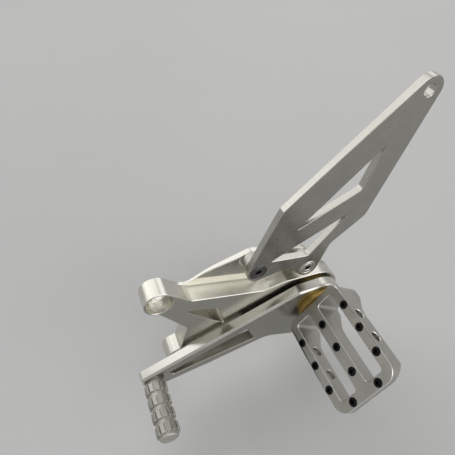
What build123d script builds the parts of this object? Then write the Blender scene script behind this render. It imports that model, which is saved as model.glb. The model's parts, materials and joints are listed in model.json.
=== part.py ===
from build123d import *
import os
from math import acos, atan2, cos, degrees, hypot, radians, sin

os.makedirs("parts", exist_ok=True)

# Rear set footrest, left-hand shift side, in millimetres.
# +X is forward, +Y outboard, +Z up. The origin is the axis of the upper frame bolt
# on the bracket's inner seating face.

# Where the bolts and the pivot lie
frame_pitch = 72.0            # upper to lower frame bolt
pivot_back = 108.0            # pivot axis behind the frame bolts
pivot_drop = 57.0             # pivot axis below the upper frame bolt
peg_tilt = 47.3               # platform turned nose down about the pivot axis

# Thicknesses, counted outboard from the seating face
bracket_thickness = 14.0
ear_thickness = 4.0
web_pocket_depth = 1.7
spacer_length = 8.0
guard_thickness = 5.0
inner_flange = 2.2
outer_flange = 3.3
lever_thickness = 8.0
end_play = 0.10               # each side of the lever's bushes

# Bracket
boss_radius = 10.0
frame_bolt_radius = 5.0
frame_bolt_clearance = 0.25
counterbore_radius = 8.75
counterbore_depth = 7.0
pivot_boss_radius = 22.0
ear_radius = 6.6
ear_front = (42.6, 54.8)      # forward and up from the pivot, as are the stations below
ear_rear = (6.2, 38.4)
rib_knee = (70.0, 57.2)
flank_foot = (38.5, 26.8)
flank_crest = (20.0, 27.2)
web_neck = (-18.4, -6.9)      # forward and up from the upper frame bolt
neck_top = (-19.9, -9.0)
front_notch = (-11.5, -38.0)
front_shoulder = (2.9, -9.1)
lower_neck_front = 102.0      # where the two edges run into the lower boss, in degrees
lower_neck_rear = 172.0
boss_fillet = 3.0
neck_fillet = 7.0
web_neck_fillet = 10.5
rib_knee_fillet = 50.0
flank_fillet = 5.0
notch_fillet = 2.5
rib_width = 1.5
rib_taper = 25.0              # run of the rib's fall to the pocket floor
outer_pocket_depth = 8.0
outer_pocket_corners = ((95.0, 39.6), (72.4, 28.0), (69.8, 4.6))
outer_pocket_fillet = 1.0
web_window_corners = ((37.0, 46.5), (38.0, 32.5), (14.0, 35.8))
web_window_fillet = 2.6
cell_length = 7.4             # lightening cells milled in the seating face
cell_width = 5.4
cell_depth = 3.6
large_cell = 8.4
large_cell_row = ((90.0, 13.5), (77.0, -6.5))
chevron_arm = 14.0
chevron_corner = (97.0, 42.0)
boss_cell = ((97.0, 8.0), (101.0, -1.0), (88.5, -9.0))
scoop = ((20.0, -4.0), (34.0, -15.0), (17.0, -17.0))
middle_cell = ((71.0, 16.5), (52.0, 13.5), (63.5, 6.0))

# Heel guard
guard_front_lobe = 8.0
guard_rear_lobe = 7.5
guard_tip = (-56.9, 153.3)
guard_tip_lobe = 8.1
guard_tip_hole_radius = 3.6
guard_brow = (29.6, 95.0)
guard_crown = (25.2, 102.5)
guard_heel = (-33.4, 72.6)
guard_waist = (-9.6, 56.6)
guard_sill = (22.0, 47.4)
guard_brow_fillet = 5.0
guard_heel_fillet = 9.0
guard_waist_fillet = 9.0
guard_sill_fillet = 5.0
upper_window = ((-37.6, 126.4), (-26.8, 97.6), (16.4, 82.2))
lower_window = ((-20.4, 80.3), (6.4, 52.4), (33.6, 61.2))
window_tip_fillet = 0.3
window_corner_fillet = 3.6

# Guard screws and spacers
guard_screw_radius = 3.0
guard_screw_clearance = 0.30
guard_thread_clearance = 0.05
guard_head_radius = 6.6
guard_socket_flats = 4.0
guard_socket_depth = 2.4
spacer_radius = 6.6

# Pivot
spindle_radius = 10.0
nose_radius = 8.0
nose_length = 6.0
nose_clearance = 0.03
nose_end_gap = 0.2
peg_bolt_radius = 5.0
peg_bolt_clearance = 0.25
peg_thread_clearance = 0.05
peg_thread_into_hub = 2.5
peg_hole_past_bolt = 1.2
peg_bolt_head_radius = 8.75
peg_bolt_head_height = 5.2
peg_bolt_head_bevel = 2.8
peg_bolt_socket_flats = 6.0
peg_bolt_socket_depth = 3.0
washer_radius = 15.5
washer_thickness = 3.2
bush_radius = 12.0
bush_flange_radius = 16.0
bush_running_clearance = 0.04
bush_seat_clearance = 0.02
bush_gap = 0.4                # between the two bushes inside the lever

# Shift lever
lever_boss_radius = 20.0
lever_bend = (14.8, 22.0)
lever_nose_top = (139.2, -9.6)
lever_nose_front = (140.2, -21.5)
lever_nose_bottom = (126.5, -26.0)
lever_belly = (88.0, -24.2)
lever_throat = (43.0, -20.0)
lever_chamfer = 1.5
lever_bend_fillet = 14.0
lever_nose_fillet = 3.0
lever_chin_fillet = 6.5
lever_throat_fillet = 16.0
rod_arm = (9.0, -31.0)
rod_arm_radius = 8.0
rod_hole_radius = 3.05
lever_window = ((57.0, 3.0), (119.6, -12.4), (117.0, -17.2), (52.2, -13.8))
lever_window_fillet = 1.5

# Toe peg
toe_axis = (131.7, -18.3)
toe_core_radius = 6.6
toe_tooth_height = 1.7
toe_rows = 4
toe_row_length = 6.2
toe_row_pitch = 9.7
toe_first_row = 2.4           # from the lever's face
toe_end_collar = 2.8
toe_teeth = 12
toe_groove_width = 1.2
toe_groove_depth = 1.6
toe_end_chamfer = 0.8
toe_bolt_radius = 3.0
toe_bolt_clearance = 0.2
toe_thread_clearance = 0.05
toe_bolt_engagement = 18.0
toe_hole_past_bolt = 1.5
toe_head_radius = 5.0
toe_head_height = 3.6
toe_socket_flats = 4.0
toe_socket_depth = 2.2
toe_recess_clearance = 0.4
toe_recess_depth = 4.2

# Foot peg, in the peg's own frame: across, outboard from the root, down from the platform
peg_width = 50.0
peg_length = 72.4
peg_platform_depth = 13.3
peg_hub_depth = 24.4
peg_tip_depth = 6.0           # left at the outer end by the bevel underneath
peg_hub_flat = 11.0
peg_hub_run = 24.5
peg_axis_depth = 12.2
peg_root_corner = 6.0
peg_end_corner = 9.0
peg_knee_round = 5.0
peg_throat_round = 14.0
mid_rail = 8.8
side_rail = 6.6
root_bar = 5.2
end_bar = 7.6
slot_corner = 2.8
cross_hole_radius = 3.4
grip_first = 17.6
grip_pitch = 18.2
grip_rows = 3
grip_side_inset = 3.1
grip_end_across = 22.0
grip_radius = 2.5
grip_length = 8.0
grip_proud = 0.8
grip_thread_clearance = 0.05
grip_hole_past = 0.8
grip_socket_flats = 2.5
grip_socket_depth = 2.2

# Derived places
pivot_x = -pivot_back
pivot_z = -pivot_drop
guard_inner = ear_thickness + spacer_length
guard_outer = guard_inner + guard_thickness
lever_inner = bracket_thickness + end_play + inner_flange
lever_outer = lever_inner + lever_thickness
root_face = lever_outer + outer_flange + end_play
spindle_length = root_face - bracket_thickness
frame_hole_radius = frame_bolt_radius + frame_bolt_clearance
toe_length = toe_first_row + (toe_rows - 1) * toe_row_pitch + toe_row_length + toe_end_collar
toe_end = lever_outer + toe_length
slot_width = (peg_width - mid_rail) / 2 - side_rail
slot_across = (mid_rail + slot_width) / 2
slot_length = peg_length - root_bar - end_bar
slot_middle = root_bar + slot_length / 2
tilt_sin = sin(radians(peg_tilt))
tilt_cos = cos(radians(peg_tilt))
slip = 1.0                    # how far a cutter runs past the face it leaves by


def face_at(y):
    # plane parallel to the seating face, drawn as forward and up, extruded inboard
    return Plane(origin=(0, y, 0), x_dir=(1, 0, 0), z_dir=(0, -1, 0))


def piv(station):
    return (pivot_x + station[0], pivot_z + station[1])


def on_lower_boss(angle):
    turn = radians(angle)
    return (boss_radius * cos(turn), boss_radius * sin(turn) - frame_pitch)


def tangent(point, centre, radius, turn):
    # where a line from the point touches the circle, on the side given by turn
    dx = point[0] - centre[0]
    dz = point[1] - centre[1]
    angle = atan2(dz, dx) + turn * acos(radius / hypot(dx, dz))
    return (centre[0] + radius * cos(angle), centre[1] + radius * sin(angle))


def along(start, end, share):
    return (start[0] + share * (end[0] - start[0]), start[1] + share * (end[1] - start[1]))


def shifted(start, end, distance):
    # the line from start to end moved sideways to its left
    dx = end[0] - start[0]
    dz = end[1] - start[1]
    run = hypot(dx, dz)
    step = (-dz * distance / run, dx * distance / run)
    return (start[0] + step[0], start[1] + step[1]), (end[0] + step[0], end[1] + step[1])


def outline(*points):
    Polygon(*points, align=None)


def round_corner(sketch, point, radius):
    fillet(sketch.vertices().sort_by_distance((point[0], point[1], 0))[0], radius=radius)


def disc(centre, radius, mode=Mode.ADD):
    with Locations(centre):
        Circle(radius, mode=mode)


def hexagon(centre, flats):
    with Locations(centre):
        RegularPolygon(flats / 2, 6, major_radius=False)


upper_bolt = (0, 0)
lower_bolt = (0, -frame_pitch)
pivot = (pivot_x, pivot_z)

# Hanger bracket
neck_touch = tangent(neck_top, upper_bolt, boss_radius, -1)
crest_touch = tangent(piv(flank_crest), pivot, pivot_boss_radius, 1)
lower_front = on_lower_boss(lower_neck_front)
lower_rear = on_lower_boss(lower_neck_rear)
belly_touch = tangent(lower_rear, pivot, pivot_boss_radius, -1)
rib_touch = tangent(piv(rib_knee), piv(ear_front), ear_radius, 1)
with BuildPart() as hanger_bracket:
    with BuildSketch(face_at(ear_thickness)) as web:
        for ear in (ear_front, ear_rear):
            disc(piv(ear), ear_radius)
        disc(pivot, pivot_boss_radius)
        make_hull()
        outline(neck_touch, web_neck, piv(rib_knee), rib_touch, piv(ear_front), pivot, front_notch, upper_bolt)
        round_corner(web, web_neck, web_neck_fillet)
        round_corner(web, piv(rib_knee), rib_knee_fillet)
    extrude(amount=ear_thickness)
    # pocket between the thin rib and the flank, and the rib's taper towards the neck
    web_floor = ear_thickness - web_pocket_depth
    rib_high = ear_front[0] + ear_radius + 2 * rib_width
    rib_front = shifted(web_neck, piv(rib_knee), rib_width)
    rib_rear = shifted(piv(rib_knee), rib_touch, rib_width)
    with BuildSketch(face_at(ear_thickness)) as web_pocket:
        outline(rib_front[0], rib_rear[0], rib_rear[1], piv(flank_foot), neck_top)
        disc(piv(ear_front), ear_radius + rib_width, mode=Mode.SUBTRACT)
    extrude(amount=web_pocket_depth, mode=Mode.SUBTRACT)
    with BuildSketch(Plane(origin=(pivot_x, 0, pivot_z), x_dir=(1, 0, 0), z_dir=(0, 0, 1))):
        outline(
            (rib_high, ear_thickness),
            (rib_high + rib_taper, web_floor),
            (pivot_back, web_floor),
            (pivot_back, ear_thickness + slip),
            (rib_high, ear_thickness + slip),
        )
    extrude(amount=frame_pitch, mode=Mode.SUBTRACT)
    with BuildSketch(face_at(ear_thickness)) as web_window:
        outline(*[piv(corner) for corner in web_window_corners])
        fillet(web_window.vertices(), radius=web_window_fillet)
    extrude(amount=ear_thickness, mode=Mode.SUBTRACT)
    with BuildSketch(face_at(bracket_thickness)) as body:
        outline(
            neck_touch,
            neck_top,
            piv(flank_foot),
            piv(flank_crest),
            crest_touch,
            pivot,
            belly_touch,
            lower_rear,
            lower_bolt,
            lower_front,
            front_notch,
            front_shoulder,
        )
        disc(upper_bolt, boss_radius)
        disc(lower_bolt, boss_radius)
        disc(pivot, pivot_boss_radius)
        round_corner(body, neck_top, neck_fillet)
        round_corner(body, piv(flank_foot), flank_fillet)
        round_corner(body, piv(flank_crest), flank_fillet)
        round_corner(body, front_notch, notch_fillet)
        for corner in (front_shoulder, lower_front, lower_rear):
            round_corner(body, corner, boss_fillet)
    extrude(amount=bracket_thickness)
    # open triangular pocket in the outer face
    with BuildSketch(face_at(bracket_thickness)) as outer_pocket:
        outline(*[piv(corner) for corner in outer_pocket_corners])
        fillet(outer_pocket.vertices(), radius=outer_pocket_fillet)
    extrude(amount=outer_pocket_depth, mode=Mode.SUBTRACT)
    # lightening cells in the seating face: rows, a chevron at the front and three loose pockets
    upper_row = shifted(piv(flank_foot), neck_top, -cell_width - 2)
    lower_row = shifted(belly_touch, lower_rear, cell_width)
    diagonal_row = [piv(end) for end in large_cell_row]
    front_edge = (front_notch, front_shoulder)
    rows = (
        (upper_row, (-0.16, 0.06, 0.28, 0.50, 0.72), cell_length, cell_width),
        (lower_row, (0.42, 0.57), cell_length, cell_width),
        (diagonal_row, (0.0, 0.5, 1.0), large_cell, large_cell),
    )
    with BuildSketch(face_at(0)):
        for row, shares, length, width in rows:
            lean = degrees(atan2(row[1][1] - row[0][1], row[1][0] - row[0][0]))
            for share in shares:
                with Locations(Location((*along(row[0], row[1], share), 0), (0, 0, lean))):
                    Rectangle(length, width)
        for line in (upper_row, front_edge):
            lean = degrees(atan2(line[1][1] - line[0][1], line[1][0] - line[0][0]))
            with Locations(Location((*piv(chevron_corner), 0), (0, 0, lean))):
                Rectangle(chevron_arm, cell_width, align=(Align.MAX, Align.CENTER))
        for pocket in (boss_cell, scoop, middle_cell):
            outline(*[piv(corner) for corner in pocket])
    extrude(amount=-cell_depth, mode=Mode.SUBTRACT)
    # frame bolts, guard threads and the peg's bolt with its locating recess
    with BuildSketch(face_at(bracket_thickness)):
        disc(upper_bolt, frame_hole_radius)
        disc(lower_bolt, frame_hole_radius)
        disc(pivot, peg_bolt_radius + peg_bolt_clearance)
        for ear in (ear_front, ear_rear):
            disc(piv(ear), guard_screw_radius + guard_thread_clearance)
    extrude(amount=bracket_thickness, mode=Mode.SUBTRACT)
    with BuildSketch(face_at(bracket_thickness)):
        disc(upper_bolt, counterbore_radius)
        disc(lower_bolt, counterbore_radius)
    extrude(amount=counterbore_depth, mode=Mode.SUBTRACT)
    with BuildSketch(face_at(bracket_thickness)):
        disc(pivot, nose_radius + nose_clearance)
    extrude(amount=nose_length + nose_end_gap, mode=Mode.SUBTRACT)
hanger_bracket.part.label = "hanger_bracket"
export_step(hanger_bracket.part, "parts/hanger_bracket.step")

# Heel guard
tip = piv(guard_tip)
with BuildPart() as heel_guard:
    with BuildSketch(face_at(guard_outer)) as plate:
        outline(
            tangent(piv(guard_brow), piv(ear_front), guard_front_lobe, -1),
            piv(guard_brow),
            piv(guard_crown),
            tangent(piv(guard_crown), tip, guard_tip_lobe, 1),
            tip,
            tangent(piv(guard_heel), tip, guard_tip_lobe, -1),
            piv(guard_heel),
            piv(guard_waist),
            tangent(piv(guard_waist), piv(ear_rear), guard_rear_lobe, 1),
            piv(ear_rear),
            tangent(piv(guard_sill), piv(ear_rear), guard_rear_lobe, -1),
            piv(guard_sill),
            tangent(piv(guard_sill), piv(ear_front), guard_front_lobe, 1),
            piv(ear_front),
        )
        disc(piv(ear_front), guard_front_lobe)
        disc(piv(ear_rear), guard_rear_lobe)
        disc(tip, guard_tip_lobe)
        round_corner(plate, piv(guard_brow), guard_brow_fillet)
        round_corner(plate, piv(guard_heel), guard_heel_fillet)
        round_corner(plate, piv(guard_waist), guard_waist_fillet)
        round_corner(plate, piv(guard_sill), guard_sill_fillet)
    extrude(amount=guard_thickness)
    for window in (upper_window, lower_window):
        corners = [piv(corner) for corner in window]
        with BuildSketch(face_at(guard_outer)) as opening:
            outline(*corners)
            round_corner(opening, corners[1], window_corner_fillet)
            round_corner(opening, corners[0], window_tip_fillet)
            round_corner(opening, corners[2], window_tip_fillet)
        extrude(amount=guard_thickness, mode=Mode.SUBTRACT)
    with BuildSketch(face_at(guard_outer)):
        disc(tip, guard_tip_hole_radius)
        for ear in (ear_front, ear_rear):
            disc(piv(ear), guard_screw_radius + guard_screw_clearance)
    extrude(amount=guard_thickness, mode=Mode.SUBTRACT)
    with BuildSketch(face_at(guard_outer)):
        for ear in (ear_front, ear_rear):
            disc(piv(ear), guard_head_radius)
    extrude(amount=guard_head_radius - guard_screw_radius, taper=45, mode=Mode.SUBTRACT)
heel_guard.part.label = "heel_guard"
export_step(heel_guard.part, "parts/heel_guard.step")

# Spacers and countersunk screws that carry the guard
with BuildPart() as guard_spacer_front:
    with BuildSketch(face_at(guard_inner)):
        disc(piv(ear_front), spacer_radius)
        disc(piv(ear_front), guard_screw_radius + guard_screw_clearance, mode=Mode.SUBTRACT)
    extrude(amount=spacer_length)
guard_spacer_front.part.label = "guard_spacer_front"
export_step(guard_spacer_front.part, "parts/guard_spacer_front.step")

with BuildPart() as guard_spacer_rear:
    with BuildSketch(face_at(guard_inner)):
        disc(piv(ear_rear), spacer_radius)
        disc(piv(ear_rear), guard_screw_radius + guard_screw_clearance, mode=Mode.SUBTRACT)
    extrude(amount=spacer_length)
guard_spacer_rear.part.label = "guard_spacer_rear"
export_step(guard_spacer_rear.part, "parts/guard_spacer_rear.step")

with BuildPart() as guard_screw_front:
    with BuildSketch(face_at(guard_outer)):
        disc(piv(ear_front), guard_head_radius)
    extrude(amount=guard_head_radius - guard_screw_radius, taper=45)
    with BuildSketch(face_at(guard_outer)):
        disc(piv(ear_front), guard_screw_radius)
    extrude(amount=guard_outer)
    with BuildSketch(face_at(guard_outer)):
        hexagon(piv(ear_front), guard_socket_flats)
    extrude(amount=guard_socket_depth, mode=Mode.SUBTRACT)
guard_screw_front.part.label = "guard_screw_front"
export_step(guard_screw_front.part, "parts/guard_screw_front.step")

with BuildPart() as guard_screw_rear:
    with BuildSketch(face_at(guard_outer)):
        disc(piv(ear_rear), guard_head_radius)
    extrude(amount=guard_head_radius - guard_screw_radius, taper=45)
    with BuildSketch(face_at(guard_outer)):
        disc(piv(ear_rear), guard_screw_radius)
    extrude(amount=guard_outer)
    with BuildSketch(face_at(guard_outer)):
        hexagon(piv(ear_rear), guard_socket_flats)
    extrude(amount=guard_socket_depth, mode=Mode.SUBTRACT)
guard_screw_rear.part.label = "guard_screw_rear"
export_step(guard_screw_rear.part, "parts/guard_screw_rear.step")

# Flanged bushes pressed into the lever from both sides
bush_bore = spindle_radius + bush_running_clearance
bush_reach = (lever_thickness - bush_gap) / 2
with BuildPart() as pivot_bush_inner:
    with BuildSketch(face_at(lever_inner)):
        disc(pivot, bush_flange_radius)
    extrude(amount=inner_flange)
    with BuildSketch(face_at(lever_inner + bush_reach)):
        disc(pivot, bush_radius)
    extrude(amount=bush_reach)
    with BuildSketch(face_at(lever_inner + bush_reach)):
        disc(pivot, bush_bore)
    extrude(amount=bush_reach + inner_flange, mode=Mode.SUBTRACT)
pivot_bush_inner.part.label = "pivot_bush_inner"
export_step(pivot_bush_inner.part, "parts/pivot_bush_inner.step")

with BuildPart() as pivot_bush_outer:
    with BuildSketch(face_at(lever_outer + outer_flange)):
        disc(pivot, bush_flange_radius)
    extrude(amount=outer_flange)
    with BuildSketch(face_at(lever_outer)):
        disc(pivot, bush_radius)
    extrude(amount=bush_reach)
    with BuildSketch(face_at(lever_outer + outer_flange)):
        disc(pivot, bush_bore)
    extrude(amount=bush_reach + outer_flange, mode=Mode.SUBTRACT)
pivot_bush_outer.part.label = "pivot_bush_outer"
export_step(pivot_bush_outer.part, "parts/pivot_bush_outer.step")

# Shift lever with its long window, toe end and rod arm
with BuildPart() as shift_lever:
    with BuildSketch(face_at(lever_outer)) as blade:
        disc(pivot, lever_boss_radius)
        disc(piv(rod_arm), rod_arm_radius)
        make_hull()
        outline(
            tangent(piv(lever_bend), pivot, lever_boss_radius, 1),
            piv(lever_bend),
            piv(lever_nose_top),
            piv(lever_nose_front),
            piv(lever_nose_bottom),
            piv(lever_belly),
            piv(lever_throat),
            tangent(piv(lever_throat), piv(rod_arm), rod_arm_radius, -1),
            piv(rod_arm),
            pivot,
        )
        round_corner(blade, piv(lever_bend), lever_bend_fillet)
        round_corner(blade, piv(lever_nose_top), lever_nose_fillet)
        round_corner(blade, piv(lever_nose_front), lever_chin_fillet)
        round_corner(blade, piv(lever_nose_bottom), lever_chin_fillet)
        round_corner(blade, piv(lever_throat), lever_throat_fillet)
    extrude(amount=lever_thickness)
    chamfer(shift_lever.faces().sort_by(Axis.Y)[-1].edges(), length=lever_chamfer)
    with BuildSketch(face_at(lever_outer)) as long_window:
        outline(*[piv(corner) for corner in lever_window])
        fillet(long_window.vertices(), radius=lever_window_fillet)
    extrude(amount=lever_thickness, mode=Mode.SUBTRACT)
    with BuildSketch(face_at(lever_outer)):
        disc(pivot, bush_radius + bush_seat_clearance)
        disc(piv(rod_arm), rod_hole_radius)
        disc(piv(toe_axis), toe_bolt_radius + toe_bolt_clearance)
    extrude(amount=lever_thickness, mode=Mode.SUBTRACT)
    with BuildSketch(face_at(lever_inner)):
        disc(piv(toe_axis), toe_head_radius + toe_recess_clearance)
    extrude(amount=-toe_recess_depth, mode=Mode.SUBTRACT)
shift_lever.part.label = "shift_lever"
export_step(shift_lever.part, "parts/shift_lever.step")

# Toe peg: faceted bar, turned down between its rows and slotted at the facets' corners
toe = piv(toe_axis)
toe_crown = toe_core_radius + toe_tooth_height
with BuildPart() as toe_peg:
    with BuildSketch(face_at(toe_end)):
        disc(toe, toe_core_radius)
    extrude(amount=toe_length)
    chamfer(toe_peg.edges().sort_by(Axis.Y)[-1], length=toe_end_chamfer)
    for row in range(toe_rows):
        row_end = lever_outer + toe_first_row + row * toe_row_pitch + toe_row_length
        with BuildSketch(face_at(row_end)):
            with Locations(toe):
                RegularPolygon(toe_crown, toe_teeth)
                with PolarLocations(toe_crown, toe_teeth):
                    Rectangle(2 * toe_groove_depth, toe_groove_width, mode=Mode.SUBTRACT)
        extrude(amount=toe_row_length)
    with BuildSketch(face_at(lever_outer)):
        disc(toe, toe_bolt_radius + toe_thread_clearance)
    extrude(amount=-toe_bolt_engagement - toe_hole_past_bolt, mode=Mode.SUBTRACT)
toe_peg.part.label = "toe_peg"
export_step(toe_peg.part, "parts/toe_peg.step")

toe_seat = lever_inner + toe_recess_depth
with BuildPart() as toe_peg_bolt:
    with BuildSketch(face_at(toe_seat)):
        disc(toe, toe_head_radius)
    extrude(amount=toe_head_height)
    with BuildSketch(face_at(lever_outer + toe_bolt_engagement)):
        disc(toe, toe_bolt_radius)
    extrude(amount=lever_outer + toe_bolt_engagement - toe_seat)
    with BuildSketch(face_at(toe_seat - toe_head_height)):
        hexagon(toe, toe_socket_flats)
    extrude(amount=-toe_socket_depth, mode=Mode.SUBTRACT)
toe_peg_bolt.part.label = "toe_peg_bolt"
export_step(toe_peg_bolt.part, "parts/toe_peg_bolt.step")

# Foot peg: platform with two long slots, hub, spindle and locating nose
across = Vector(tilt_cos, 0, -tilt_sin)
normal = Vector(tilt_sin, 0, tilt_cos)
peg_origin = Vector(pivot_x, root_face, pivot_z) + normal * peg_axis_depth
platform = Plane(origin=peg_origin, x_dir=across, z_dir=normal)
flank_plane = Plane(origin=peg_origin, x_dir=(0, 1, 0), z_dir=across)
side_grip = peg_width / 2 - grip_side_inset
grip_places = [
    (side * side_grip, grip_first + row * grip_pitch) for row in range(grip_rows) for side in (-1, 0, 1)
]
grip_places += [(side * grip_end_across / 2, peg_length - end_bar / 2) for side in (-1, 1)]
with BuildPart() as foot_peg:
    with BuildSketch(platform) as plan:
        with Locations((0, peg_length / 2)):
            Rectangle(peg_width, peg_length)
        fillet(plan.vertices().group_by(Axis.Y)[0], radius=peg_root_corner)
        fillet(plan.vertices().group_by(Axis.Y)[-1], radius=peg_end_corner)
        with Locations((-slot_across, slot_middle), (slot_across, slot_middle)):
            RectangleRounded(slot_width, slot_length, slot_corner, mode=Mode.SUBTRACT)
    extrude(amount=-peg_hub_depth)
    with BuildSketch(flank_plane) as side_view:
        outline(
            (0, 0),
            (peg_length, 0),
            (peg_length, -peg_tip_depth),
            (peg_length + peg_tip_depth - peg_platform_depth, -peg_platform_depth),
            (peg_hub_run, -peg_platform_depth),
            (peg_hub_flat, -peg_hub_depth),
            (0, -peg_hub_depth),
        )
        round_corner(side_view, (peg_hub_run, -peg_platform_depth), peg_throat_round)
        round_corner(side_view, (peg_hub_flat, -peg_hub_depth), peg_knee_round)
    extrude(amount=peg_width / 2, both=True, mode=Mode.INTERSECT)
    for side in (-1, 1):
        with BuildSketch(flank_plane.offset(side * (peg_width / 2 - side_rail / 2))):
            for row in range(grip_rows - 1):
                place = (grip_first + (row + 0.5) * grip_pitch, -peg_platform_depth / 2)
                disc(place, cross_hole_radius)
        extrude(amount=side_rail / 2 + slip, both=True, mode=Mode.SUBTRACT)
    with BuildSketch(platform):
        for place in grip_places:
            disc(place, grip_radius + grip_thread_clearance)
    extrude(amount=-(grip_length - grip_proud + grip_hole_past), mode=Mode.SUBTRACT)
    with BuildSketch(face_at(root_face)):
        disc(pivot, spindle_radius)
    extrude(amount=spindle_length)
    with BuildSketch(face_at(bracket_thickness)):
        disc(pivot, nose_radius)
    extrude(amount=nose_length)
    with BuildSketch(face_at(bracket_thickness - nose_length)):
        disc(pivot, peg_bolt_radius + peg_thread_clearance)
    bolt_hole = nose_length + spindle_length + peg_thread_into_hub + peg_hole_past_bolt
    extrude(amount=-bolt_hole, mode=Mode.SUBTRACT)
foot_peg.part.label = "foot_peg"
export_step(foot_peg.part, "parts/foot_peg.step")

with BuildPart() as grip_screws:
    with BuildSketch(platform.offset(grip_proud)):
        for place in grip_places:
            disc(place, grip_radius)
    extrude(amount=-grip_length)
    with BuildSketch(platform.offset(grip_proud)):
        for place in grip_places:
            hexagon(place, grip_socket_flats)
    extrude(amount=-grip_socket_depth, mode=Mode.SUBTRACT)
grip_screws.part.label = "grip_screws"
export_step(grip_screws.part, "parts/grip_screws.step")

# Bolt and washer that hold the peg from the inner side
with BuildPart() as peg_bolt:
    with BuildSketch(face_at(-washer_thickness)):
        disc(pivot, peg_bolt_head_radius)
    extrude(amount=peg_bolt_head_height)
    chamfer(peg_bolt.edges().sort_by(Axis.Y)[0], length=peg_bolt_head_bevel)
    with BuildSketch(face_at(root_face + peg_thread_into_hub)):
        disc(pivot, peg_bolt_radius)
    extrude(amount=root_face + peg_thread_into_hub + washer_thickness)
    with BuildSketch(face_at(-washer_thickness - peg_bolt_head_height)):
        hexagon(pivot, peg_bolt_socket_flats)
    extrude(amount=-peg_bolt_socket_depth, mode=Mode.SUBTRACT)
peg_bolt.part.label = "peg_bolt"
export_step(peg_bolt.part, "parts/peg_bolt.step")

with BuildPart() as peg_bolt_washer:
    with BuildSketch(face_at(0)):
        disc(pivot, washer_radius)
    extrude(amount=washer_thickness)
    with BuildSketch(face_at(0)):
        disc(pivot, peg_bolt_radius + peg_bolt_clearance)
    extrude(amount=washer_thickness, mode=Mode.SUBTRACT)
peg_bolt_washer.part.label = "peg_bolt_washer"
export_step(peg_bolt_washer.part, "parts/peg_bolt_washer.step")
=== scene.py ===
import json
import math

import bmesh
import bpy
from mathutils import Matrix, Vector

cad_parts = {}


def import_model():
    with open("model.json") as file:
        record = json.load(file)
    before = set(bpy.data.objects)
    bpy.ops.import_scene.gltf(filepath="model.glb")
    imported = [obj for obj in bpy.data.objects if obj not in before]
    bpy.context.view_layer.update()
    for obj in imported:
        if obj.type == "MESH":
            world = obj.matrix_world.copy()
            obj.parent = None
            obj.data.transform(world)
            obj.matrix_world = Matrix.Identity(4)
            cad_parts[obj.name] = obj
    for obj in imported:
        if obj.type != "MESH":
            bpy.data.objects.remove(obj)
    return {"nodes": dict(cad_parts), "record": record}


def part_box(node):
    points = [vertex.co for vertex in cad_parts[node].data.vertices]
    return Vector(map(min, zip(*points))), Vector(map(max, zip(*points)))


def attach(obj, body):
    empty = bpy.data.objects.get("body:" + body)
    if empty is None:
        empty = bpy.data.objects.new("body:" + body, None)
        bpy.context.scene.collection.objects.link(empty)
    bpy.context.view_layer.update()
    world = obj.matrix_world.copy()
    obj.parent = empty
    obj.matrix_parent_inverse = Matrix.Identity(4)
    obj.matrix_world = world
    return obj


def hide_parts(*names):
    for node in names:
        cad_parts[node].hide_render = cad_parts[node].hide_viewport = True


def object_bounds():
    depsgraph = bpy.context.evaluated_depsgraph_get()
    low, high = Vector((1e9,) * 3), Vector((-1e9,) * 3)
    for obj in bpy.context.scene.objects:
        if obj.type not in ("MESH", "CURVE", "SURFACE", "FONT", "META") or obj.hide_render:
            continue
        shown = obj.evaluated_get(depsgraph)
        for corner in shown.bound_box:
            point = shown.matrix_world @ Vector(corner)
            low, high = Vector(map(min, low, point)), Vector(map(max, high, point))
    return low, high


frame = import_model()
cad_low, cad_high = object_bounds()

MM = 0.001
SLOT_OF = {sub["node"]: sub["material_slot"] for sub in frame["record"]["subparts"]}


# Node trees

def rgba(r, g, b):
    return (r, g, b, 1.0)


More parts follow.
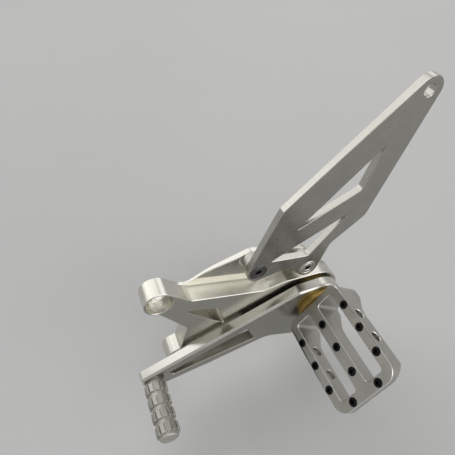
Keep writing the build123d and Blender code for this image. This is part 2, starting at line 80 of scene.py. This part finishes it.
class Nodes:
    """A node tree, with calls that add a node and give back its output."""

    def __init__(self, tree):
        self.nodes = tree.nodes
        self.links = tree.links

    def math(self, kind, first, second=0.0):
        node = self.nodes.new("ShaderNodeMath")
        node.operation = kind
        for socket, value in zip(node.inputs, (first, second)):
            if isinstance(value, (int, float)):
                socket.default_value = value
            else:
                self.links.new(value, socket)
        return node.outputs["Value"]

    def times(self, first, second):
        return self.math("MULTIPLY", first, second)

    def plus(self, first, second):
        return self.math("ADD", first, second)

    def ranged(self, value, start, end=(0.0, 1.0), smooth=False):
        """A value carried from one range to another, and held at its ends."""
        node = self.nodes.new("ShaderNodeMapRange")
        if smooth:
            node.interpolation_type = "SMOOTHSTEP"
        for socket, number in zip(("From Min", "From Max", "To Min", "To Max"), (*start, *end)):
            node.inputs[socket].default_value = number
        self.links.new(value, node.inputs["Value"])
        return node.outputs["Result"]

    def part(self, vector, axis):
        node = self.nodes.new("ShaderNodeSeparateXYZ")
        self.links.new(vector, node.inputs["Vector"])
        return node.outputs[axis]

    def length(self, vector):
        node = self.nodes.new("ShaderNodeVectorMath")
        node.operation = "LENGTH"
        self.links.new(vector, node.inputs[0])
        return node.outputs["Value"]

    def ramp(self, value, stops):
        node = self.nodes.new("ShaderNodeValToRGB")
        bar = node.color_ramp.elements
        while len(bar) < len(stops):
            bar.new(0.5)
        for item, (place, colour) in zip(bar, stops):
            item.position = place
            item.color = colour
        self.links.new(value, node.inputs["Fac"])
        return node.outputs["Color"]

    def dimmed(self, colour, share):
        """A colour less a share of itself. A share below 0 makes it paler."""
        node = self.nodes.new("ShaderNodeVectorMath")
        node.operation = "SCALE"
        self.links.new(colour, node.inputs["Vector"])
        self.links.new(self.math("SUBTRACT", 1.0, share), node.inputs["Scale"])
        return node.outputs["Vector"]

    def seen(self):
        """1 for the rays that show the background: from the camera, off metal or through glass."""
        path = self.nodes.new("ShaderNodeLightPath")
        total = path.outputs["Is Camera Ray"]
        for kind in ("Is Glossy Ray", "Is Transmission Ray"):
            total = self.math("MAXIMUM", total, path.outputs[kind])
        return total


class Shader(Nodes):
    """A surface material, built step by step."""

    def __init__(self, name):
        self.mat = bpy.data.materials.new(name)
        self.mat.use_nodes = True
        super().__init__(self.mat.node_tree)
        self.bsdf = self.nodes["Principled BSDF"]
        place = self.nodes.new("ShaderNodeTexCoord")
        self.coord = place.outputs["Object"]
        self.facing = place.outputs["Normal"]

    def stretch(self, scale, turn=0.0):
        """The object's own coordinates, turned about Y by an angle in degrees and scaled."""
        node = self.nodes.new("ShaderNodeMapping")
        node.inputs["Scale"].default_value = scale
        node.inputs["Rotation"].default_value = (0, math.radians(turn), 0)
        self.links.new(self.coord, node.inputs["Vector"])
        return node.outputs["Vector"]

    def noise(self, vector, scale, detail, rough):
        node = self.nodes.new("ShaderNodeTexNoise")
        node.inputs["Scale"].default_value = scale
        node.inputs["Detail"].default_value = detail
        node.inputs["Roughness"].default_value = rough
        self.links.new(vector, node.inputs["Vector"])
        return node.outputs["Fac"]

    def waves(self, vector, pitch):
        """Slightly wavering tool marks, a given pitch apart along the vector's x."""
        pitch_at_scale_1 = 2 * math.pi / 20
        node = self.nodes.new("ShaderNodeTexWave")
        node.wave_type = "BANDS"
        node.bands_direction = "X"
        node.inputs["Scale"].default_value = pitch_at_scale_1 / pitch
        node.inputs["Distortion"].default_value = 1.5
        node.inputs["Detail"].default_value = 2.0
        node.inputs["Detail Scale"].default_value = 0.4
        self.links.new(vector, node.inputs["Vector"])
        return node.outputs["Fac"]

    def painted(self, name):
        node = self.nodes.new("ShaderNodeAttribute")
        node.attribute_name = name
        return node.outputs["Fac"]

    def bumped(self, height, strength, distance, under=None):
        node = self.nodes.new("ShaderNodeBump")
        node.inputs["Strength"].default_value = strength
        node.inputs["Distance"].default_value = distance
        self.links.new(height, node.inputs["Height"])
        if under is not None:
            self.links.new(under, node.inputs["Normal"])
        return node.outputs["Normal"]

    def to(self, value, socket):
        self.links.new(value, self.bsdf.inputs[socket])

    def set(self, socket, value):
        self.bsdf.inputs[socket].default_value = value


# Metals: lengths in mm, heights above the bracket's seating face

EVEN = (1, 1, 1)                # a noise's scale along X, Y and Z
ALONG_X = (0.06, 1, 1)          # drawn out into streaks
ALONG_Y = (1, 0.06, 1)
ROUND_Y = (1, 7, 1)             # rings round a turned piece
PAINTED_LIGHT = "painted_edge_light"              # 1 on the faces that break an edge, a painted highlight; -1 in a socket, a painted shade

CLOUD = (60.0, 4.0, 0.6)        # a noise's scale, detail and roughness
RIDGE = (1100.0, 2.0, 0.5)
STREAK = (5.0, 0.65)            # detail and roughness: each metal has its own scale
STREAK_DEPTH = 0.1
CLOUD_SHARE = 0.6               # the rest of the tone is the cutter's streaks
DARK_TONE = 0.3                 # tones that get the metal's dark and pale colour
PALE_TONE = 0.7
DEEP = 0.4                      # the darkest tone, as a share of the dark colour
BARE = 0.5                      # the palest tone, as a share of the way from the pale colour to white
FACES_Y = 0.9                   # a face looks along Y when its normal's Y is past this
UPRIGHT = 0.3                   # and is a side wall when it is under this
OUTBOARD_FLATS = (10.0, 40.0)   # heights of the outboard flats, which get a painted shade

POCKET_FLOOR = (2.0, 2.6)       # the bracket's web pocket: its floor lies between these heights
FLANK_X = -0.393                # the flank above it, as a line in the side view: its normal and reach
FLANK_Z = 0.92
FLANK_REACH = -0.45
FLANK_BAND = 2.0                # the flank's wall lies this near to that line
FLANK_TURN = (0.75, 0.98)       # in the rounds at its ends, shares of its normal that the finish fades over
PASS_PITCH = 2.0                # the cutter's passes across the pocket's floor
PASS_TURN = 70                  # degrees
PASS_START = (7.0, 8.5)         # they come in this far from the flank
PASS_TOP = 1.45                 # a pass's tone is its wave less this, times its swing
PASS_SWING = 0.55
PASS_BUMP = 0.3
PASS_DEPTH = 0.05
FOOT = (0.3, 2.6)               # the painted shade along the flank's foot fades out this far from it; FOOT_SHADE is its strength
FOOT_SHADE = 0.5
SOFTER = 0.22                   # roughness that the pocket and the flank have more than the rest
PLAIN_GLOW = 0.4                # share by which a painted highlight makes them paler where no passes show


class Metal(Shader):
    """Satin metal with soft clouding and the fine streaks of the cutter."""

    def __init__(self, name, rough, streak, turn, grain, bump):
        super().__init__(name)
        self.set("Metallic", 1.0)
        cloud = self.noise(self.stretch(EVEN), *CLOUD)
        lines = self.noise(self.stretch(streak, turn), grain, *STREAK)
        self.tone = self.plus(self.times(cloud, CLOUD_SHARE), self.times(lines, 1.0 - CLOUD_SHARE))
        self.finish = self.ranged(self.tone, (DARK_TONE, PALE_TONE), rough)
        self.normal = self.bumped(lines, bump, STREAK_DEPTH * MM)

    def level(self, low, high):
        """1 on the faces that look outboard between two heights, 0 elsewhere."""
        height = self.part(self.coord, "Y")
        above = self.math("GREATER_THAN", height, low * MM)
        below = self.math("LESS_THAN", height, high * MM)
        outboard = self.math("GREATER_THAN", self.part(self.facing, "Y"), FACES_Y)
        return self.times(self.times(above, below), outboard)

    def across_flank(self, vector):
        """How far a vector reaches along the normal of the flank's line."""
        along_x = self.times(self.part(vector, "X"), FLANK_X)
        along_z = self.times(self.part(vector, "Z"), FLANK_Z)
        return self.plus(along_x, along_z)

    def past_flank(self, near, far):
        """0 to 1 from one distance past the flank's line to another."""
        start = ((FLANK_REACH + near) * MM, (FLANK_REACH + far) * MM)
        return self.ranged(self.across_flank(self.coord), start, smooth=True)

    def flank_wall(self):
        """1 on the flank's wall, fading out in the rounds at its ends."""
        off = self.math("SUBTRACT", self.across_flank(self.coord), FLANK_REACH * MM)
        near = self.math("LESS_THAN", self.math("ABSOLUTE", off), FLANK_BAND * MM)
        return self.times(near, self.ranged(self.across_flank(self.facing), FLANK_TURN, smooth=True))

    def ridge_walls(self, strength):
        """Ridges that the cutter's side leaves on the walls."""
        ridges = self.noise(self.stretch(ALONG_Y), *RIDGE)
        side = self.math("LESS_THAN", self.math("ABSOLUTE", self.part(self.facing, "Y")), UPRIGHT)
        self.normal = self.bumped(self.times(ridges, side), strength, STREAK_DEPTH * MM, self.normal)

    def mill_pocket(self):
        """The cutter's wide passes in the web pocket, and a softer finish there and on the flank."""
        wave = self.waves(self.stretch(EVEN, PASS_TURN), PASS_PITCH * MM)
        self.pocket = self.level(*POCKET_FLOOR)
        self.flank = self.flank_wall()
        self.passes = self.times(self.pocket, self.past_flank(*PASS_START))
        soft = self.math("MAXIMUM", self.pocket, self.flank)
        self.finish = self.plus(self.finish, self.times(soft, SOFTER))
        swing = self.times(self.math("SUBTRACT", wave, PASS_TOP), PASS_SWING)
        self.tone = self.plus(self.tone, self.times(swing, self.passes))
        self.normal = self.bumped(self.times(wave, self.passes), PASS_BUMP, PASS_DEPTH * MM, self.normal)

    def paint_edge_light(self, share):
        # a painted highlight on the broken edges, and a painted shade in screw sockets
        self.tone = self.plus(self.tone, self.times(self.painted(PAINTED_LIGHT), share))

    def paint(self, dark, pale):
        """The tone turned into colour."""
        deep = [DEEP * part for part in dark]
        bare = [1.0 - BARE * (1.0 - part) for part in pale]
        self.colour = self.ramp(self.tone, [(0.0, rgba(*deep)), (DARK_TONE, rgba(*dark)),
                                            (PALE_TONE, rgba(*pale)), (1.0, rgba(*bare))])

    def dim(self, place, share):
        """A darker place, or a paler one where the share is below 0."""
        self.colour = self.dimmed(self.colour, self.times(place, share))

    def paint_pocket_light(self):
        """Painted shade along the flank's foot, and a painted highlight on the flank and the plain floor
        beside it.
        """
        foot = self.math("SUBTRACT", 1.0, self.past_flank(*FOOT))
        self.dim(self.times(foot, self.pocket), FOOT_SHADE)
        unmarked = self.math("SUBTRACT", self.pocket, self.passes)
        self.dim(self.math("MAXIMUM", self.flank, unmarked), -PLAIN_GLOW)

    def done(self):
        self.to(self.colour, "Base Color")
        self.to(self.finish, "Roughness")
        self.to(self.normal, "Normal")
        return self.mat


def metal(name, dark, pale, rough, streak=EVEN, turn=0.0, grain=1500.0, bump=0.10,
          ridges=0.0, pocket=False, painted_light_share=0.0, flats=0.0, inner=0.0):
    """One metal, from its dark to its pale colour and over a range of roughness.

    The streaks have a direction, an angle in degrees, a fineness and a bump. ridges is the bump of the
    walls, pocket adds the bracket's milled pocket with its painted shade and painted highlight, and a share
    of painted light makes broken edges paler, a painted highlight, and screw sockets darker, a painted
    shade.
    flats is a painted shade that makes the outboard flats darker, and inner is a painted highlight that
    makes the faces that look inboard paler.
    """
    s = Metal(name, rough, streak, turn, grain, bump)
    if ridges:
        s.ridge_walls(ridges)
    if pocket:
        s.mill_pocket()
    # painted highlight on broken edges, painted shade in screw sockets
    if painted_light_share:
        s.paint_edge_light(painted_light_share)
    s.paint(dark, pale)
    if pocket:
        s.paint_pocket_light()
    # painted shade: the outboard flats darker
    if flats:
        s.dim(s.level(*OUTBOARD_FLATS), flats)
    # painted highlight: the faces that look inboard paler
    if inner:
        s.dim(s.math("LESS_THAN", s.part(s.facing, "Y"), -FACES_Y), -inner)
    return s.done()


LOOKS = {
    "bracket_aluminium": dict(
        dark=(0.61, 0.595, 0.54), pale=(0.70, 0.685, 0.625), rough=(0.24, 0.32),
        streak=ALONG_X, turn=27, bump=0.02, pocket=True, flats=0.32),
    "guard_aluminium": dict(
        dark=(0.42, 0.41, 0.375), pale=(0.53, 0.52, 0.475), rough=(0.22, 0.31),
        streak=ALONG_X, turn=-40, grain=1700.0, bump=0.025, ridges=0.8, flats=0.25, inner=0.5),
    "lever_aluminium": dict(
        dark=(0.56, 0.55, 0.50), pale=(0.665, 0.655, 0.60), rough=(0.20, 0.29),
        streak=ALONG_X, turn=14.4, grain=1600.0, bump=0.025, flats=0.38),
    "peg_aluminium": dict(
        dark=(0.38, 0.37, 0.335), pale=(0.56, 0.55, 0.505), rough=(0.30, 0.40),
        grain=1000.0, bump=0.06, painted_light_share=0.6),
    "turned_aluminium": dict(
        dark=(0.46, 0.45, 0.41), pale=(0.60, 0.59, 0.54), rough=(0.40, 0.50),
        streak=ROUND_Y, bump=0.04),
    "bronze": dict(
        dark=(0.40, 0.265, 0.075), pale=(0.68, 0.48, 0.16), rough=(0.24, 0.40),
        streak=ROUND_Y, grain=1300.0, bump=0.04),
    "bright_steel": dict(
        dark=(0.60, 0.595, 0.58), pale=(0.74, 0.735, 0.72), rough=(0.20, 0.32),
        bump=0.03, painted_light_share=0.6),
    "dark_screw": dict(
        dark=(0.09, 0.09, 0.088), pale=(0.17, 0.168, 0.163), rough=(0.26, 0.40),
        bump=0.04),
    "black_screw": dict(
        dark=(0.014, 0.014, 0.0145), pale=(0.03, 0.03, 0.031), rough=(0.34, 0.5),
        bump=0.05),
    "dark_washer": dict(
        dark=(0.035, 0.035, 0.037), pale=(0.07, 0.07, 0.073), rough=(0.3, 0.45),
        streak=ROUND_Y, bump=0.05),
}
MATERIALS = {name: metal(name, **look) for name, look in LOOKS.items()}

for name, slot in SLOT_OF.items():
    node = frame["nodes"][name]
    node.data.materials.clear()
    node.data.materials.append(MATERIALS[slot])


# Finished pieces: each milled or turned node with the small edge break that a deburred part has.
# Lengths in mm.

SAME_POINT = 0.001                  # corners this near are one
SLIVER = 0.002                      # an edge shorter than this, left by the edge break, closes up
FLAT_TURN = math.radians(0.4)       # faces that turn less than this are one flat
SHARP_TURN = math.radians(25)       # an outer edge that turns more than this is broken
SHADED_TURN = math.radians(20)      # an edge left as it is shades smooth when it turns less than this
SCREW_TURN = math.radians(30)       # the same, on a screw

SCREW_STEPS = 48                    # points round a screw
SOCKET_LEAD = 0.3                   # bevel at a socket's mouth
SOCKET_TIP = 0.6                    # cone at its floor


def piece_of(name, mesh, body, node):
    piece = bpy.data.objects.new(name, mesh)
    bpy.context.scene.collection.objects.link(piece)
    mesh.materials.append(MATERIALS[SLOT_OF[node]])
    for face in mesh.polygons:
        face.use_smooth = True
    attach(piece, body)
    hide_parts(node)


def deburred(node, body, width):
    """A copy of a node with every sharp outer edge broken by a narrow flat."""
    mesh = bpy.data.meshes.new(node + "_finished")
    work = bmesh.new()
    work.from_mesh(frame["nodes"][node].data)
    painted_light_layer = work.faces.layers.float.new(PAINTED_LIGHT)
    bmesh.ops.remove_doubles(work, verts=work.verts, dist=SAME_POINT * MM)
    bmesh.ops.dissolve_limit(work, angle_limit=FLAT_TURN, use_dissolve_boundaries=False,
                             verts=work.verts, edges=work.edges)
    sharp = [edge for edge in work.edges if edge.is_convex and edge.calc_face_angle(0.0) > SHARP_TURN]
    broken = bmesh.ops.bevel(work, geom=sharp, offset=width * MM, offset_type="OFFSET", segments=1,
                             profile=0.5, affect="EDGES", clamp_overlap=False)
    bmesh.ops.dissolve_degenerate(work, dist=SLIVER * MM, edges=work.edges)
    flats = {face for face in broken["faces"] if face.is_valid}
    # the edge flats get the painted highlight
    for face in flats:
        face[painted_light_layer] = 1.0
    for edge in work.edges:
        on_flat = [face in flats for face in edge.link_faces]
        edge.smooth = all(on_flat) if any(on_flat) else edge.calc_face_angle(0.0) < SHADED_TURN
    work.to_mesh(mesh)
    work.free()
    piece_of(node + "_finished", mesh, body, node)


def ring(axis, radius, y, hexagonal=False):
    """Points round an axis along Y, on a circle or on a hexagon with that radius to its flats."""
    corner = math.pi / 3
    points = []
    for i in range(SCREW_STEPS):
        angle = 2 * math.pi * i / SCREW_STEPS
        reach = radius / math.cos((angle % corner) - corner / 2) if hexagonal else radius
        x = axis[0] + reach * math.cos(angle)
        z = axis[1] + reach * math.sin(angle)
        points.append((x * MM, y * MM, z * MM))
    return points


def turned(node, body, profile, flats, depth):
    """A socket screw along Y: rings of the profile, whose last point is on the head's face, then the
    hexagon from that face down to its floor."""
    low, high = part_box(node)
    axis = ((low[0] + high[0]) / 2 / MM, (low[2] + high[2]) / 2 / MM)
    tail, face = profile[0][1], profile[-1][1]
    inward = math.copysign(1.0, tail - face)
    rings = [ring(axis, radius, y) for radius, y in profile]
    rings.append(ring(axis, flats / 2 + SOCKET_LEAD, face, True))
    rings.append(ring(axis, flats / 2, face + SOCKET_LEAD * inward, True))
    rings.append(ring(axis, flats / 2, face + depth * inward, True))
    work = bmesh.new()
    painted_light_layer = work.faces.layers.float.new(PAINTED_LIGHT)
    loops = [[work.verts.new(point) for point in points] for points in rings]
    socket = loops[-1]
    for near, far in zip(loops, loops[1:]):
        for i in range(SCREW_STEPS):
            j = (i + 1) % SCREW_STEPS
            wall = work.faces.new((near[i], near[j], far[j], far[i]))
            # the socket's walls get the painted shade
            wall[painted_light_layer] = -1.0 if far is socket else 0.0
    for loop, y in ((loops[0], tail), (socket, face + (depth + SOCKET_TIP) * inward)):
        tip = work.verts.new((axis[0] * MM, y * MM, axis[1] * MM))
        for i in range(SCREW_STEPS):
            end = work.faces.new((loop[i], loop[(i + 1) % SCREW_STEPS], tip))
            # the socket's floor gets the painted shade too
            end[painted_light_layer] = -1.0 if loop is socket else 0.0
    bmesh.ops.recalc_face_normals(work, faces=work.faces)
    mesh = bpy.data.meshes.new(node + "_finished")
    work.to_mesh(mesh)
    work.free()
    piece_of(node + "_finished", mesh, body, node)
    mesh.set_sharp_from_angle(angle=SCREW_TURN)


def guard_screw(node):
    """A countersunk screw, with a turned groove round the head: radii, and heights along Y."""
    shank = 3.0
    point = 0.6
    cone = 13.4
    head = 6.3
    rim = 0.3
    face = 17.0
    groove_outer = 5.1
    groove_inner = 4.4
    groove_side = 0.2
    groove = face - 0.25
    profile = [(shank - point, 0.0), (shank, point), (shank, cone), (head, face - rim), (head - rim, face),
               (groove_outer, face), (groove_outer - groove_side, groove),
               (groove_inner + groove_side, groove), (groove_inner, face)]
    turned(node, "hanger", profile, flats=4.0, depth=2.4)


def peg_bolt(node):
    """The peg's bolt, put in from the inner side, with a domed head: radii, and heights along Y."""
    shank = 5.0
    tail = 30.2
    point = 1.0
    seat = -3.2
    head = 8.75
    rim = 0.3
    shoulder = -4.1
    crown = 4.2
    face = -8.4
    profile = [(shank - point, tail), (shank, tail - point), (shank, seat), (head - rim, seat),
               (head, seat - rim)]
    for degrees in range(0, 91, 9):
        angle = math.radians(degrees)
        radius = crown + (head - crown) * math.cos(angle)
        y = shoulder + (face - shoulder) * math.sin(angle)
        profile.append((radius, y))
    turned(node, "hanger", profile, flats=6.0, depth=3.0)


# node, body, width of the edge break
for node, body, width in (
    ("hanger_bracket", "hanger", 0.35),
    ("heel_guard", "hanger", 0.35),
    ("foot_peg", "hanger", 0.42),
    ("shift_lever", "lever", 0.35),
    ("toe_peg", "lever", 0.20),
    ("guard_spacer_front", "hanger", 0.30),
    ("guard_spacer_rear", "hanger", 0.30),
    ("pivot_bush_inner", "lever", 0.25),
    ("pivot_bush_outer", "lever", 0.25),
    ("toe_peg_bolt", "lever", 0.25),
    ("grip_screws", "hanger", 0.25),
    ("peg_bolt_washer", "hanger", 0.50),
):
    deburred(node, body, width)

guard_screw("guard_screw_front")
guard_screw("guard_screw_rear")
peg_bolt("peg_bolt")


# Studio: pale floor, soft lamps, camera at the photograph's angle. Lengths in metres.

WHITE = rgba(1.0, 0.995, 0.985)
BACKGROUND = 0.48               # how bright the background looks
FILL = 0.22                     # how much light it gives
SWING_DROP = 21.5 * MM          # room for the toe peg's swing below the part's lowest point at rest
FLOOR_HALF = 8.0
FLOOR_FADE = (0.4, 1.3)         # distances over which the floor runs into the background
FLOOR_CLOUD = (3.0, 2.0, 0.55)
FLOOR_DARK = rgba(0.75, 0.75, 0.745)
FLOOR_PALE = rgba(0.80, 0.80, 0.795)
FLOOR_ROUGH = 0.6
FLOOR_GLOSS = 0.5
LAMP_AIM = Vector((-0.08, 0.03, 0.0))
LAMPS = (                       # name, place, width and height, radiance
    ("back_top", (0.26, -1.313, 1.462), (2.21, 1.19), 1.08),
    ("back_fore", (1.416, -1.381, 0.884), (1.19, 0.85), 1.0),
    ("back_aft", (-1.338, -1.415, 0.952), (1.36, 1.02), 1.1),
    ("front_aft", (-1.27, 1.407, 0.748), (1.70, 1.36), 1.42),
    ("front_top", (-0.012, 1.254, 1.462), (1.53, 0.85), 1.45),
)
CAMERA_PLACE = Vector((-0.0084, 0.1586, 0.2151))
CAMERA_RIGHT = (-0.92366, 0.37200, -0.0922)
CAMERA_UP = (-0.33639, -0.67161, 0.66015)
CAMERA_BACK = (0.18366, 0.64074, 0.74548)
SENSOR = 36.0                   # mm, as is the lens
LENS = 32.5
NEAREST = 0.01                  # the camera sees from here on


def floor():
    mesh = bpy.data.meshes.new("floor")
    z = cad_low[2] - SWING_DROP
    corners = [(x * FLOOR_HALF, y * FLOOR_HALF, z) for x, y in ((-1, -1), (1, -1), (1, 1), (-1, 1))]
    mesh.from_pydata(corners, [], [(0, 1, 2, 3)])
    obj = bpy.data.objects.new("floor", mesh)
    bpy.context.scene.collection.objects.link(obj)
    s = Shader("floor")
    cloud = s.noise(s.stretch(EVEN), *FLOOR_CLOUD)
    colour = s.ramp(cloud, [(0.0, FLOOR_DARK), (1.0, FLOOR_PALE)])
    far = s.ranged(s.length(s.coord), FLOOR_FADE, smooth=True)
    s.to(s.dimmed(colour, far), "Base Color")
    s.to(s.math("SUBTRACT", FLOOR_GLOSS, s.times(far, FLOOR_GLOSS)), "Specular IOR Level")
    s.to(s.times(s.times(far, s.seen()), BACKGROUND), "Emission Strength")
    s.set("Emission Color", WHITE)
    s.set("Roughness", FLOOR_ROUGH)
    mesh.materials.append(s.mat)


def lamp(name, place, size, glow):
    """A soft box that faces the object, with the radiance of its own face."""
    data = bpy.data.lights.new(name, "AREA")
    data.shape = "RECTANGLE"
    data.size, data.size_y = size
    data.energy = glow * math.pi * data.size * data.size_y
    obj = bpy.data.objects.new(name, data)
    bpy.context.scene.collection.objects.link(obj)
    obj.location = place
    obj.rotation_euler = (LAMP_AIM - obj.location).to_track_quat("-Z", "Y").to_euler()


def world():
    """A background that looks brighter than the light it gives."""
    studio = bpy.data.worlds.new("studio")
    bpy.context.scene.world = studio
    studio.use_nodes = True
    tree = Nodes(studio.node_tree)
    back = tree.nodes["Background"]
    back.inputs["Color"].default_value = WHITE
    tree.links.new(tree.ranged(tree.seen(), (0.0, 1.0), (FILL, BACKGROUND)), back.inputs["Strength"])


def camera():
    data = bpy.data.cameras.new("photo_camera")
    data.sensor_width = SENSOR
    data.lens = LENS
    data.clip_start = NEAREST
    obj = bpy.data.objects.new("photo_camera", data)
    bpy.context.scene.collection.objects.link(obj)
    turn = Matrix((CAMERA_RIGHT, CAMERA_UP, CAMERA_BACK)).transposed().to_4x4()
    obj.matrix_world = Matrix.Translation(CAMERA_PLACE) @ turn
    bpy.context.scene.camera = obj


bpy.context.scene.view_settings.view_transform = "Standard"
floor()
world()
for name, place, size, glow in LAMPS:
    lamp(name, place, size, glow)
camera()
